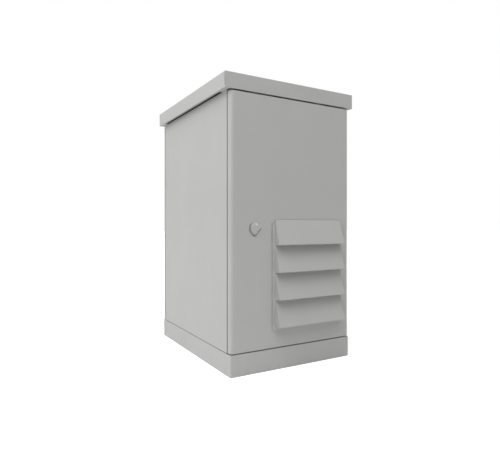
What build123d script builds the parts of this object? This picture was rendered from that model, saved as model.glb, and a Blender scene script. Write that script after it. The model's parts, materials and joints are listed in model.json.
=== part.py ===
from build123d import *
import os
from math import cos, sin, radians, sqrt

# Outdoor equipment cabinet: plinth, screwed body, flat roof cap, one rod-locked door with a louvre hood.
# Millimetres. Origin at the middle of the plinth's underside, X to the right, Y to the rear, Z up.

# Overall sizes
body_width = 610.0
body_depth = 790.0
total_height = 1200.0
sheet = 2.0
seat_gap = 0.3

# Plinth
plinth_height = 88.0
plinth_sheet = 2.5
plinth_return = 40.0
plinth_bend = 5.0
plinth_flange = 66.0
plinth_seam = 1.0
plinth_joint_from_front = 467.0
anchor_radius = 7.0
anchor_inset_x = 55.0
anchor_inset_y = 30.0

# Roof cap
roof_overhang = 23.0
roof_skirt = 63.0
roof_return = 10.0
roof_corner_plate = 72.0
roof_corner_slot = 2.5
roof_slot_from_bottom = 7.0
roof_slot_from_top = 4.0
roof_spacer_height = 54.5
roof_spacer_radius = 12.0
roof_bolt_radius = 4.0
roof_bolt_inset = 90.0

# Door and rear cover pans
pan_depth = 25.0
edge_radius = 15.0
side_seam = 5.0
door_bottom_gap = 4.5
door_top_gap = 7.5
pan_return = 12.0
cover_screw_inset = 60.0

# Front and rear frames
frame_setback = 34.0
frame_face = 32.0
frame_flange = 30.0
gasket_thickness = 10.0
gasket_width = 12.0
frame_foot = 38.0
rear_face = 40.0
base_bolt_setback = 17.0
panel_fold = 14.0

# Hinges
hinge_from_side = 9.0
hinge_from_front = 17.0
hinge_pin_radius = 3.0
hinge_running_gap = 0.05
knuckle_radius = 5.5
knuckle_length = 30.0
hinge_inset = 140.0
bracket_plate = 3.0

# Louvre hood
hood_left = 208.0
hood_width = 348.0
hood_top = 622.0
hood_depth = 33.5
blade_count = 4
first_blade_height = 105.1
blade_pitch = 113.0
blade_overlap = 8.0
drip_lip = 4.0
hood_flange = 15.0
hood_flange_foot = 14.0
hood_gasket_thickness = 1.5

# Ventilation behind the hood
window_margin = 11.0
mesh_thickness = 1.5
mesh_columns = 7
mesh_rows = 20
mesh_bar = 6.0
filter_thickness = 10.0
filter_wall = 3.0
fan_size = 172.0
fan_depth = 51.0
fan_bore_radius = 83.0
fan_hub_radius = 33.0
fan_shaft_radius = 4.0
fan_shaft_length = 25.0
fan_tip_gap = 2.0
fan_blades = 7

# Lock
lock_from_left = 116.0
lock_height = 585.0
lock_dish_radius = 33.5
lock_dish_depth = 6.0
lock_dish_slope = 6.0
rosette_radius = 24.8
rosette_thickness = 6.5
lock_cover_radius = 24.0
lock_cover_thickness = 3.0
lock_cover_chord = 14.6
lock_cover_pivot = 17.0
rivet_radius = 2.5
spindle_radius = 7.0
barrel_radius = 14.0
stiffener_depth = 14.0
stiffener_width = 102.0
cross_width = 60.0
cross_below_frame = 136.0
cross_above_hood = 78.0
cam_radius = 20.0
cam_thickness = 3.0
crank_radius = 14.0
crank_pin_radius = 3.0
crank_slot_gap = 0.6
rod_width = 16.0
rod_thickness = 4.0
keeper_gap = 9.0

# Rack
rack_hole_spacing = 465.1
rack_unit = 44.45
rack_end_margin = 10.0
rack_opening = 451.0
rack_hole = 9.5
rack_setback = 110.0
rack_web = 30.0
rail_sheet = 2.0
depth_rail_width = 14.0
depth_rail_height = 40.0

# Cable entry and earthing
gland_plate_width = 240.0
gland_plate_depth = 140.0
gland_radius = 16.0
gland_from_rear = 190.0
earth_bar_length = 200.0

# Worked out from the sizes above
half = body_width / 2
front = -body_depth / 2
back = body_depth / 2
body_floor = plinth_height + sheet
roof_top = total_height
roof_bottom = roof_top - roof_skirt
body_top = roof_top - sheet - roof_spacer_height - sheet
door_bottom = plinth_height + door_bottom_gap
door_top = roof_bottom - door_top_gap
frame_front = front + frame_setback
frame_rear = back - pan_depth - seat_gap
frame_half = half - sheet - seat_gap
opening_half = frame_half - frame_face
opening_bottom = body_floor + frame_foot
opening_top = door_top - frame_face
panel_front = front + pan_depth + side_seam
panel_rear = back - pan_depth - side_seam
pin_x = half - hinge_from_side
pin_y = front + hinge_from_front
lock_x = -half + lock_from_left
lock_seat = front + lock_dish_depth
hood_x0 = -half + hood_left
hood_x1 = hood_x0 + hood_width
hood_bottom = hood_top - first_blade_height - (blade_count - 1) * blade_pitch
stiffener_face = front + sheet + stiffener_depth
cam_front = stiffener_face + 1.0
rod_front = cam_front + cam_thickness + 1.0
crank_offset = crank_radius * cos(radians(45))

os.makedirs("parts", exist_ok=True)


def block(x, y, z):
    """A box from three low and high pairs."""
    size = (x[1] - x[0], y[1] - y[0], z[1] - z[0])
    middle = ((x[0] + x[1]) / 2, (y[0] + y[1]) / 2, (z[0] + z[1]) / 2)
    return Pos(*middle) * Box(*size)


def rod_along_y(radius, x, z, y0, y1):
    """A round bar along Y."""
    return Pos(x, (y0 + y1) / 2, z) * Rot(90, 0, 0) * Cylinder(radius, y1 - y0)


def rod_along_z(radius, x, y, z0, z1):
    """A round bar along Z."""
    return Pos(x, y, (z0 + z1) / 2) * Cylinder(radius, z1 - z0)


def taper_along_y(radius, slope, x, z, y0, y1):
    """A round taper along Y that loses slope millimetres of radius for each millimetre of depth."""
    return Pos(x, (y0 + y1) / 2, z) * Rot(-90, 0, 0) * Cone(radius, radius - slope * (y1 - y0), y1 - y0)


def side_profile(points, x0, x1):
    """A closed outline of (y, z) points carried along X."""
    outline = make_face(Polyline(*[(y, z) for y, z in points], close=True))
    solid = extrude(Plane.YZ * outline, x1 - x0)
    return Pos(x0, 0, 0) * solid


def mirrored(solid):
    """The same piece on the other side of the middle plane."""
    return mirror(solid, about=Plane.YZ)


def save(name, *solids):
    """Write one named piece, or a group of like pieces."""
    flat = [s for piece in solids for s in piece.solids()]
    export_step(flat[0] if len(flat) == 1 else Compound(children=flat), f"parts/{name}.step")


def plan_outline(width, depth, radius):
    """Plan of a pan: a strip with its two front corners rounded, front edge on Y = 0."""
    strip = Pos(0, depth / 2) * Rectangle(width, depth)
    corners = strip.vertices().sort_by(Axis.Y)[:2]
    return fillet(corners, radius)


def pan(z0, z1, hinge_side_open):
    """A folded sheet pan with rounded vertical edges, open to the rear."""
    outer = extrude(plan_outline(body_width, pan_depth, edge_radius), z1 - z0)
    inner_plan = plan_outline(body_width - 2 * sheet, pan_depth, edge_radius - sheet)
    inner = extrude(inner_plan, z1 - z0 - 2 * sheet)
    shell = Pos(0, 0, z0) * (outer - Pos(0, sheet, sheet) * inner)
    y = (pan_depth - sheet, pan_depth)
    inside = half - pan_return
    right_end = half - sheet - 4.0 if hinge_side_open else half - sheet / 2
    shell += block((-half + sheet / 2, -inside), y, (z0 + sheet / 2, z1 - sheet / 2))
    shell += block((-half + sheet / 2, right_end), y, (z0 + sheet / 2, z0 + pan_return))
    shell += block((-half + sheet / 2, right_end), y, (z1 - pan_return, z1 - sheet / 2))
    if not hinge_side_open:
        shell += block((inside, half - sheet / 2), y, (z0 + sheet / 2, z1 - sheet / 2))
    return shell


# Plinth: two folded corner beams and four plain side covers
def plinth_beam():
    y0 = front
    end = front + plinth_return
    outer = extrude(plan_outline(body_width, plinth_flange, plinth_bend), plinth_height)
    inner_plan = plan_outline(body_width - 2 * plinth_sheet, plinth_flange, plinth_bend - plinth_sheet)
    inner = Pos(0, plinth_sheet) * extrude(inner_plan, plinth_height)
    beam = Pos(0, y0) * (outer - inner) & block((-half, half), (y0, end), (0, plinth_height))
    for low in (0, plinth_height - plinth_sheet):
        flange = Pos(0, y0) * outer & block((-half, half), (y0, y0 + plinth_flange), (low, low + plinth_sheet))
        clear = plinth_sheet + seat_gap
        for side in (-1, 1):
            x = sorted((side * half, side * (half - clear)))
            flange -= block(x, (end, y0 + plinth_flange + 1), (low, low + plinth_sheet))
        beam += flange
    for side in (-1, 1):
        x = side * (half - anchor_inset_x)
        beam -= rod_along_z(anchor_radius, x, y0 + anchor_inset_y, -1, plinth_sheet + 1)
        beam -= rod_along_z(anchor_radius, x, y0 + frame_setback + base_bolt_setback,
                            plinth_height - plinth_sheet - 1, plinth_height + 1)
    return beam


plinth_front = plinth_beam()
save("plinth_front", plinth_front)
save("plinth_rear", Rot(0, 0, 180) * plinth_front)

cover_ends = {
    "front": (front + plinth_return + plinth_seam, front + plinth_joint_from_front),
    "rear": (front + plinth_joint_from_front + plinth_seam, back - plinth_return - plinth_seam),
}
for name, (y0, y1) in cover_ends.items():
    cover = block((-half, -half + plinth_sheet), (y0, y1), (0, plinth_height))
    for low in (0, plinth_height - plinth_sheet):
        start = max(y0, front + plinth_flange + seat_gap)
        stop = min(y1, back - plinth_flange - seat_gap)
        cover += block((-half, -half + plinth_return), (start, stop), (low, low + plinth_sheet))
    save(f"plinth_cover_left_{name}", cover)
    save(f"plinth_cover_right_{name}", mirrored(cover))

plinth_bolts = []
for side in (-1, 1):
    for end in (-1, 1):
        x = side * (half - anchor_inset_x)
        y = end * (body_depth / 2 - frame_setback - base_bolt_setback)
        shank = rod_along_z(anchor_radius - 1, x, y, plinth_height - plinth_sheet - 12, body_floor + 6)
        head = Pos(x, y, body_floor) * extrude(RegularPolygon(11, 6), 7.5)
        nut = Pos(x, y, plinth_height - plinth_sheet - 10) * extrude(RegularPolygon(11, 6), 10)
        plinth_bolts.append(shank + head + nut)
save("plinth_bolts", *plinth_bolts)


# Base pan with its gland opening
gland_y = back - gland_from_rear
base = block((-frame_half, frame_half), (frame_front, frame_rear), (plinth_height, body_floor))
flange_x = frame_half - panel_fold - 4.0
for side in (-1, 1):
    x = sorted((side * flange_x, side * (flange_x - sheet)))
    y = (frame_front + frame_flange + 2, frame_rear - frame_flange - 2)
    base += block(x, y, (body_floor, body_floor + 20))
    for end in (-1, 1):
        bolt_y = end * (body_depth / 2 - frame_setback - base_bolt_setback)
        bolt_x = side * (half - anchor_inset_x)
        base -= rod_along_z(anchor_radius, bolt_x, bolt_y, plinth_height - 1, body_floor + 1)
base -= Pos(0, gland_y, plinth_height) * Box(gland_plate_width - 40, gland_plate_depth - 40, 20)
save("base_pan", base)

gland_plate = Pos(0, gland_y, body_floor + sheet / 2) * Box(gland_plate_width, gland_plate_depth, sheet)
gland_spots = [(x, gland_y + y) for x in (-50, 50) for y in (-25, 25)]
for x, y in gland_spots:
    gland_plate -= rod_along_z(gland_radius + seat_gap, x, y, body_floor - 1, body_floor + sheet + 1)
save("gland_plate", gland_plate)

glands = []
for x, y in gland_spots:
    top = body_floor + sheet
    collar = Pos(x, y, top) * extrude(RegularPolygon(gland_radius * 1.35, 6), 8)
    dome = rod_along_z(gland_radius * 1.05, x, y, top + 8, top + 20)
    dome = fillet(dome.edges().sort_by(Axis.Z)[-1], 4)
    stem = rod_along_z(gland_radius, x, y, body_floor - 12, top)
    nut = Pos(x, y, body_floor - 8) * extrude(RegularPolygon(gland_radius * 1.3, 6), 8)
    glands.append(collar + dome + stem + nut)
save("cable_glands", *glands)


# Front frame: face ring, outer flange to the rear, sealing lip to the front
def ring(half_out, half_in, z_out, z_in, y):
    outer = block((-half_out, half_out), y, z_out)
    return outer - block((-half_in, half_in), (y[0] - 1, y[1] + 1), z_in)


z_out = (body_floor, body_top)
z_open = (opening_bottom, opening_top)
z_flange = (body_floor + sheet, body_top - sheet)
frame = ring(frame_half, opening_half, z_out, z_open, (frame_front, frame_front + sheet))
frame += ring(frame_half, frame_half - sheet, z_out, z_flange, (frame_front, frame_front + frame_flange))
lip_front = front + sheet + gasket_thickness + seat_gap
z_lip = (opening_bottom - sheet, opening_top + sheet)
frame += ring(opening_half + sheet, opening_half, z_lip, z_open, (lip_front, frame_front + sheet))
for side in (-1, 1):
    bolt_x = side * (half - anchor_inset_x)
    bolt_y = frame_front + base_bolt_setback
    frame -= rod_along_z(12, bolt_x, bolt_y, body_floor - 1, body_floor + sheet + 1)
save("front_frame", frame)

rear = ring(frame_half, frame_half - rear_face, z_out, z_open, (frame_rear - sheet, frame_rear))
rear += ring(frame_half, frame_half - sheet, z_out, z_flange, (frame_rear - frame_flange, frame_rear))
screw_heights = [door_bottom + cover_screw_inset, (door_bottom + door_top) / 2,
                 door_top - cover_screw_inset]
screw_x = half - edge_radius - 8
for side in (-1, 1):
    bolt_x = side * (half - anchor_inset_x)
    bolt_y = back - frame_setback - base_bolt_setback
    rear -= rod_along_z(12, bolt_x, bolt_y, body_floor - 1, body_floor + sheet + 1)
    for z in screw_heights:
        rear -= rod_along_y(3.1, side * screw_x, z, frame_rear - sheet - 1, frame_rear + 1)
save("rear_frame", rear)


# Side panels: flat sheets with a fold along the top and bottom
panel = block((half - sheet, half), (panel_front, panel_rear), (body_floor - 0.5, body_top))
fold_y = (frame_front + frame_flange + 2, frame_rear - frame_flange - 2)
for z in (body_floor + 1, body_top - sheet - 1):
    panel += block((half - sheet - panel_fold, half - sheet / 2), fold_y, (z, z + sheet))
save("side_panel_right", panel)
save("side_panel_left", mirrored(panel))


# Rear cover and its screws
rear_cover = Rot(0, 0, 180) * Pos(0, front, 0) * pan(door_bottom, door_top, False)
screws = []
for side in (-1, 1):
    for z in screw_heights:
        x = side * screw_x
        rear_cover -= rod_along_y(3.2, x, z, back - sheet - 1, back + 1)
        shank = rod_along_y(3.0, x, z, frame_rear - sheet, back + 0.5)
        head = rod_along_y(6.0, x, z, back, back + 3)
        screws.append(shank + fillet(head.edges().group_by(Axis.Y)[-1], 1.4))
save("rear_cover", rear_cover)
save("rear_cover_screws", *screws)


# Top plate, roof cap, spacers and bolts
plate_top = body_top + sheet
top_plate = block((-frame_half, frame_half), (frame_front, frame_rear), (body_top, plate_top))
bolt_spots = [(x * (half - roof_bolt_inset), y * (body_depth / 2 - roof_bolt_inset))
              for x in (-1, 1) for y in (-1, 1)]
for x, y in bolt_spots:
    top_plate -= rod_along_z(roof_bolt_radius + seat_gap, x, y, body_top - 1, plate_top + 1)
for column in range(8):
    x = (column - 3.5) * 45
    for row in (-1, 1):
        slot = extrude(SlotOverall(110, 12, rotation=90), 4 * sheet, both=True)
        top_plate -= Pos(x, row * 90, body_top) * slot
save("top_plate", top_plate)

roof_half = half + roof_overhang
roof = block((-roof_half, roof_half), (front, back), (roof_bottom, roof_top))
inner_x = roof_half - sheet
inner_y = body_depth / 2 - sheet
roof -= block((-inner_x, inner_x), (-inner_y, inner_y), (roof_bottom + sheet, roof_top - sheet))
mouth_x = roof_half - roof_return
mouth_y = body_depth / 2 - roof_return
mouth_z = (roof_bottom - 1, roof_bottom + sheet + 1)
side_mouth_y = body_depth / 2 - roof_corner_plate
roof -= block((-half - 1, half + 1), (-mouth_y, mouth_y), mouth_z)
roof -= block((-mouth_x, mouth_x), (-side_mouth_y, side_mouth_y), mouth_z)
slot_z = (roof_bottom + roof_slot_from_bottom, roof_top - roof_slot_from_top)
for x in ((-roof_half - 1, -inner_x), (inner_x, roof_half + 1)):
    roof -= block(x, (front + sheet, front + sheet + roof_corner_slot), slot_z)
    roof -= block(x, (back - sheet - roof_corner_slot, back - sheet), slot_z)
save("roof_cap", roof)

spacers = []
roof_bolts = []
for x, y in bolt_spots:
    spacer = rod_along_z(roof_spacer_radius, x, y, plate_top, plate_top + roof_spacer_height)
    spacers.append(spacer - rod_along_z(roof_bolt_radius + seat_gap, x, y, plate_top - 1, plate_top + 28))
    shank = rod_along_z(roof_bolt_radius, x, y, body_top - 1, plate_top + 24)
    head = Pos(x, y, body_top - 5.5) * extrude(RegularPolygon(7.5, 6), 5.5)
    roof_bolts.append(shank + head)
save("roof_spacers", *spacers)
save("roof_bolts", *roof_bolts)


# Rack rails: Z-section uprights with square holes, and the depth rails that carry them
rack_units = int((opening_top - opening_bottom - 2 * rack_end_margin) // rack_unit)
rail_height = rack_units * rack_unit
rail_bottom = (opening_bottom + opening_top - rail_height) / 2
rail_inner = rack_opening / 2
rail_web = rack_hole_spacing / 2 + 14.5
depth_rail_out = frame_half - sheet - 2.0
depth_rail_x = depth_rail_out - depth_rail_width
rail_z = (rail_bottom - 6, rail_bottom + rail_height + 6)


def rack_rail(face_y, direction):
    ys = sorted((face_y, face_y + direction * rail_sheet))
    upright = block((rail_inner, rail_web), ys, rail_z)
    web_y = sorted((face_y, face_y + direction * rack_web))
    upright += block((rail_web - rail_sheet, rail_web), web_y, rail_z)
    foot_y = sorted((face_y + direction * (rack_web - rail_sheet), face_y + direction * rack_web))
    upright += block((rail_web - rail_sheet, depth_rail_x - seat_gap), foot_y, rail_z)
    heights = [rail_bottom + unit * rack_unit + step
               for unit in range(rack_units) for step in (6.35, 22.225, 38.1)]
    hole = Box(rack_hole, 3 * rail_sheet, rack_hole)
    return upright - [Pos(rack_hole_spacing / 2, face_y, z) * hole for z in heights]


front_rail = rack_rail(front + rack_setback, 1)
rear_rail = rack_rail(back - rack_setback, -1)
save("rack_rail_front_right", front_rail)
save("rack_rail_front_left", mirrored(front_rail))
save("rack_rail_rear_right", rear_rail)
save("rack_rail_rear_left", mirrored(rear_rail))

depth_rails = []
rail_span = (frame_front + sheet, frame_rear - sheet)
for middle in (rail_z[0] + 28, (rail_z[0] + rail_z[1]) / 2, rail_z[1] - 28):
    z = (middle - depth_rail_height / 2, middle + depth_rail_height / 2)
    channel = block((depth_rail_x, depth_rail_out), rail_span, z)
    hollow = block((depth_rail_x + sheet, frame_half), (rail_span[0] - 1, rail_span[1] + 1),
                   (z[0] + sheet, z[1] - sheet))
    channel -= hollow
    depth_rails += [channel, mirrored(channel)]
save("depth_rails", *depth_rails)

earth_y = back - rack_setback + 20
earth_z = body_floor + 26
bar_x = (-earth_bar_length / 2, earth_bar_length / 2)
bar = block(bar_x, (earth_y - 10, earth_y + 10), (earth_z, earth_z + 4))
for step in range(-4, 5):
    bar -= rod_along_z(2.6, step * 20.0, earth_y, earth_z - 1, earth_z + 5)
save("earth_bar", bar)
posts = []
for side in (-1, 1):
    x = side * (earth_bar_length / 2 - 9)
    posts.append(rod_along_z(8, x, earth_y, body_floor, earth_z))
save("earth_bar_posts", *posts)


# Concealed hinges: frame brackets, pins, and wings welded inside the door's rounded edge
brackets = []
pins = []
wings = []
arc_x = half - edge_radius
arc_y = front + edge_radius
web_x = opening_half + sheet + 2.5
hinge_heights = (door_bottom + hinge_inset, (door_bottom + door_top) / 2, door_top - hinge_inset)
for split in hinge_heights:
    low = (split - knuckle_length, split - seat_gap / 2)
    high = (split + seat_gap / 2, split + knuckle_length)
    bore = rod_along_z(hinge_pin_radius + hinge_running_gap, pin_x, pin_y, low[0] - 1, high[1] + 1)
    knuckle = rod_along_z(knuckle_radius, pin_x, pin_y, *low)
    arm = block((web_x, pin_x - 2), (pin_y - bracket_plate / 2, pin_y + bracket_plate / 2), low)
    leg = block((web_x, web_x + bracket_plate), (pin_y - bracket_plate / 2, frame_front), low)
    foot = block((web_x, web_x + 13), (frame_front - bracket_plate, frame_front), low)
    brackets.append(knuckle + arm + leg + foot - bore)
    head = rod_along_z(hinge_pin_radius + 1.8, pin_x, pin_y, low[0] - 3, low[0])
    pins.append(head + rod_along_z(hinge_pin_radius, pin_x, pin_y, low[0] - 1, high[1] - 2))
    crescent = rod_along_z(edge_radius - sheet - 0.05, arc_x, arc_y, *high)
    crescent -= rod_along_z(edge_radius - sheet - 6, arc_x, arc_y, high[0] - 1, high[1] + 1)
    keep = block((arc_x + 4, half), (front, pin_y + 3), high)
    wings.append((crescent & keep) + rod_along_z(knuckle_radius, pin_x, pin_y, *high) - bore)
save("hinge_brackets", *brackets)
save("hinge_pins", *pins)
save("hinge_wings", *wings)


# Door leaf
window_x = (hood_x0 + window_margin, hood_x1 - window_margin)
window_z = (hood_bottom + window_margin, hood_top - window_margin - 1)
door = Pos(0, front, 0) * pan(door_bottom, door_top, True)
door -= block(window_x, (front - 1, front + sheet + 1), window_z)
slope = lock_dish_slope / lock_dish_depth
dish_wall = sheet * sqrt(1 + slope ** 2)
door += taper_along_y(lock_dish_radius + dish_wall, slope, lock_x, lock_height, front, lock_seat + sheet)
door -= taper_along_y(lock_dish_radius + slope, slope, lock_x, lock_height, front - 1, lock_seat)
door -= rod_along_y(barrel_radius + seat_gap, lock_x, lock_height, front - 1, lock_seat + sheet + 1)
save("door_leaf", door)

gasket_mid = opening_half + sheet / 2
g_out = gasket_mid + gasket_width / 2
g_in = gasket_mid - gasket_width / 2
g_low = opening_bottom - sheet / 2
g_high = opening_top + sheet / 2
half_w = gasket_width / 2
gasket = ring(g_out, g_in, (g_low - half_w, g_high + half_w), (g_low + half_w, g_high - half_w),
              (front + sheet, front + sheet + gasket_thickness))
save("door_gasket", gasket)


def hat(width, depth, length):
    """A hat section along Z, its feet on Y = 0."""
    section = Pos(0, depth / 2) * Rectangle(width - 24, depth)
    section -= Pos(0, depth / 2 - sheet) * Rectangle(width - 24 - 2 * sheet, depth)
    for side in (-1, 1):
        section += Pos(side * (width / 2 - 6.5), sheet / 2) * Rectangle(13, sheet)
    return extrude(section, length)


stiffener_z = (opening_bottom + 16, opening_top - 16)
lock_stiffener = Pos(lock_x, front + sheet, stiffener_z[0]) * hat(
    stiffener_width, stiffener_depth, stiffener_z[1] - stiffener_z[0])
lock_stiffener -= rod_along_y(barrel_radius + seat_gap, lock_x, lock_height, front, stiffener_face + 1)
save("lock_stiffener", lock_stiffener)

cross_x = (lock_x + stiffener_width / 2 + 4, opening_half - gasket_width)
cross_heights = {"upper": opening_top - cross_below_frame, "lower": hood_top + cross_above_hood}
for name, z in cross_heights.items():
    cross = Rot(0, 90, 0) * hat(cross_width, stiffener_depth, cross_x[1] - cross_x[0])
    save(f"door_stiffener_{name}", Pos(cross_x[0], front + sheet, z) * cross)


# Louvre hood: four sloping blades between sawtooth cheeks, with a sealing flange
hood_back = front - hood_gasket_thickness
blade_front = hood_back - hood_depth
lips = [hood_top - first_blade_height - n * blade_pitch for n in range(blade_count)]
tops = [hood_top] + [lip + blade_overlap for lip in lips[:-1]]
hood = None
for top, lip in zip(tops, lips):
    slope = (hood_depth / (top - lip - drip_lip))
    drop = sheet * (1 + slope ** 2) ** 0.5 / slope
    skin = [(hood_back, top), (blade_front, lip + drip_lip), (blade_front, lip),
            (blade_front + sheet, lip), (blade_front + sheet, lip + drip_lip),
            (hood_back, top - drop)]
    cheek = [(hood_back, top), (blade_front, lip + drip_lip), (blade_front, lip), (hood_back, lip)]
    blade = side_profile(skin, hood_x0, hood_x1)
    blade += side_profile(cheek, hood_x0, hood_x0 + sheet)
    blade += side_profile(cheek, hood_x1 - sheet, hood_x1)
    hood = blade if hood is None else hood + blade
flange_z = (hood_bottom - hood_flange_foot, hood_top - hood_flange)
flange_y = (hood_back - sheet, hood_back)
hood += block((hood_x0 - hood_flange, hood_x0 + sheet), flange_y, flange_z)
hood += block((hood_x1 - sheet, hood_x1 + hood_flange), flange_y, flange_z)
hood += block((hood_x0 - hood_flange, hood_x1 + hood_flange), flange_y, (flange_z[0], hood_bottom + 4))
save("louvre_hood", hood)

hood_gasket = block((hood_x0 - hood_flange, hood_x1 + hood_flange), (hood_back, front), flange_z)
hood_gasket += block((hood_x0, hood_x1), (hood_back, front), (flange_z[0], hood_top - sheet))
hood_gasket -= block(window_x, (hood_back - 1, front + 1), window_z)
save("hood_gasket", hood_gasket)


# Insect mesh, filter mat in its frame, fan plate and fan
mesh_y = (front + sheet, front + sheet + mesh_thickness)
mesh_x = (window_x[0] - 8, window_x[1] + 8)
mesh_z = (window_z[0] - 8, window_z[1] + 8)
mesh = block(mesh_x, mesh_y, mesh_z)
cell_x = (window_x[1] - window_x[0]) / mesh_columns
cell_z = (window_z[1] - window_z[0]) / mesh_rows
cell = Box(cell_x - mesh_bar, 4 * mesh_thickness, cell_z - mesh_bar)
mesh -= [Pos(window_x[0] + (column + 0.5) * cell_x, mesh_y[0], window_z[0] + (row + 0.5) * cell_z) * cell
         for column in range(mesh_columns) for row in range(mesh_rows)]
save("vent_mesh", mesh)

filter_y = (mesh_y[1], mesh_y[1] + filter_thickness)
filter_x = (mesh_x[0] + filter_wall, mesh_x[1] - filter_wall)
filter_z = (mesh_z[0] + filter_wall, mesh_z[1] - filter_wall)
mat = [(span[0] + seat_gap, span[1] - seat_gap) for span in (filter_x, filter_y, filter_z)]
save("filter_mat", block(*mat))
tray_back = filter_y[1] + filter_wall
tray = block(mesh_x, (filter_y[0], tray_back), mesh_z)
tray -= block(filter_x, (filter_y[0] - 1, filter_y[1]), filter_z)
lattice_x = (filter_x[1] - filter_x[0]) / 3
lattice_z = (filter_z[1] - filter_z[0]) / 4
for column in range(3):
    for row in range(4):
        x = filter_x[0] + (column + 0.5) * lattice_x
        z = filter_z[0] + (row + 0.5) * lattice_z
        tray -= Pos(x, tray_back, z) * Box(lattice_x - 12, 4 * filter_wall, lattice_z - 12)
save("filter_frame", tray)

fan_x = (hood_x0 + hood_x1) / 2
fan_z = window_z[1] - fan_size / 2 - 20
plate_y = (tray_back, tray_back + sheet)
fan_plate = block(mesh_x, plate_y, mesh_z)
fan_plate -= rod_along_y(fan_bore_radius, fan_x, fan_z, plate_y[0] - 1, plate_y[1] + 1)
save("fan_plate", fan_plate)

fan_y = (plate_y[1], plate_y[1] + fan_depth)
housing = Pos(fan_x, (fan_y[0] + fan_y[1]) / 2, fan_z) * Box(fan_size, fan_depth, fan_size)
housing = fillet(housing.edges().filter_by(Axis.Y), 10)
housing -= rod_along_y(fan_bore_radius, fan_x, fan_z, fan_y[0] - 1, fan_y[1] + 1)
strut_y = (fan_y[1] - 5, fan_y[1])
spider = rod_along_y(fan_hub_radius, fan_x, fan_z, *strut_y)
for turn in (45, 135):
    strut = Rot(0, turn, 0) * Box(2 * fan_bore_radius + 4, 5, 6)
    spider += Pos(fan_x, (strut_y[0] + strut_y[1]) / 2, fan_z) * strut
housing += spider
shaft_y = (strut_y[0] - fan_shaft_length, strut_y[0] + 1)
housing += rod_along_y(fan_shaft_radius, fan_x, fan_z, *shaft_y)
save("fan_housing", housing)

rotor_y = (fan_y[0] + 6, strut_y[0] - 1)
rotor = rod_along_y(fan_hub_radius, fan_x, fan_z, *rotor_y)
rotor = fillet(rotor.edges().group_by(Axis.Y)[0], 4)
blade_reach = fan_bore_radius - fan_tip_gap
for index in range(fan_blades):
    blade = Pos(0, 0, (fan_hub_radius - 3 + blade_reach) / 2) * Rot(0, 0, 35) * Box(
        34, 2.5, blade_reach - fan_hub_radius + 3)
    tip = rod_along_y(blade_reach, 0, 0, -30, 30)
    blade = Rot(0, index * 360 / fan_blades, 0) * (blade & tip)
    rotor += Pos(fan_x, (rotor_y[0] + rotor_y[1]) / 2, fan_z) * blade
bore_y = (shaft_y[0] - seat_gap, rotor_y[1] + 1)
rotor -= rod_along_y(fan_shaft_radius + hinge_running_gap, fan_x, fan_z, *bore_y)
save("fan_rotor", rotor)

guard_y = (fan_y[1], fan_y[1] + 3)
guard = None
for radius in (25, 45, 65, 84):
    hoop = rod_along_y(radius + 1.5, fan_x, fan_z, *guard_y) - rod_along_y(
        radius - 1.5, fan_x, fan_z, guard_y[0] - 1, guard_y[1] + 1)
    guard = hoop if guard is None else guard + hoop
for turn in (0, 90):
    guard += Pos(fan_x, sum(guard_y) / 2, fan_z) * Rot(0, turn, 0) * Box(170, 3, 3)
save("fan_guard", guard)


# Lock: rosette and barrel, nut, swinging dust cover, spindle, cam and two rods
rosette_front = lock_seat - rosette_thickness
rosette = rod_along_y(rosette_radius, lock_x, lock_height, rosette_front, lock_seat)
rosette = chamfer(rosette.edges().group_by(Axis.Y)[0], 0.8)
lock_body = rosette + rod_along_y(barrel_radius, lock_x, lock_height, lock_seat - 1, stiffener_face + 0.7)
lock_bore = spindle_radius + hinge_running_gap
lock_body -= rod_along_y(lock_bore, lock_x, lock_height, lock_seat - 20, stiffener_face + 5)
rivet_z = lock_height + lock_cover_pivot
lock_body -= rod_along_y(rivet_radius, lock_x, rivet_z, rosette_front - 1, lock_seat - 1)
save("lock_body", lock_body)

nut_y = (lock_seat + sheet, lock_seat + sheet + 6)
nut = extrude(Plane.XZ * RegularPolygon(19, 6), -6)
nut = Pos(lock_x, nut_y[0], lock_height) * nut
nut -= rod_along_y(barrel_radius + 0.05, lock_x, lock_height, nut_y[0] - 1, nut_y[1] + 1)
save("lock_nut", nut)

cover_y = (rosette_front - seat_gap - lock_cover_thickness, rosette_front - seat_gap)
lock_cover = rod_along_y(lock_cover_radius, lock_x, lock_height, *cover_y)
lock_cover = fillet(lock_cover.edges().group_by(Axis.Y)[0], 1.2)
cut = Pos(lock_cover_chord + 25, 0, 0) * Box(50, 40, 90)
lock_cover -= Pos(lock_x, cover_y[0], lock_height) * Rot(0, 43, 0) * cut
lock_cover -= rod_along_y(rivet_radius + hinge_running_gap, lock_x, rivet_z, cover_y[0] - 1, cover_y[1] + 1)
save("lock_cover", lock_cover)
rivet = rod_along_y(rivet_radius, lock_x, rivet_z, cover_y[0] - 0.2, lock_seat - 1.3)
rivet += rod_along_y(rivet_radius + 1.5, lock_x, rivet_z, cover_y[0] - 1.6, cover_y[0] - 0.2)
save("lock_cover_rivet", rivet)

spindle = rod_along_y(spindle_radius, lock_x, lock_height, rosette_front + 0.5, cam_front)
socket = Pos(lock_x, rosette_front + 0.5, lock_height) * Rot(0, 45, 0) * Box(7, 16, 7)
spindle -= socket
save("lock_spindle", spindle)

cam = rod_along_y(cam_radius, lock_x, lock_height, cam_front, cam_front + cam_thickness)
for side in (-1, 1):
    x = lock_x + side * crank_offset
    z = lock_height - side * crank_offset
    cam += rod_along_y(crank_pin_radius, x, z, cam_front + 1, rod_front + rod_thickness + 1)
save("lock_cam", cam)

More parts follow.
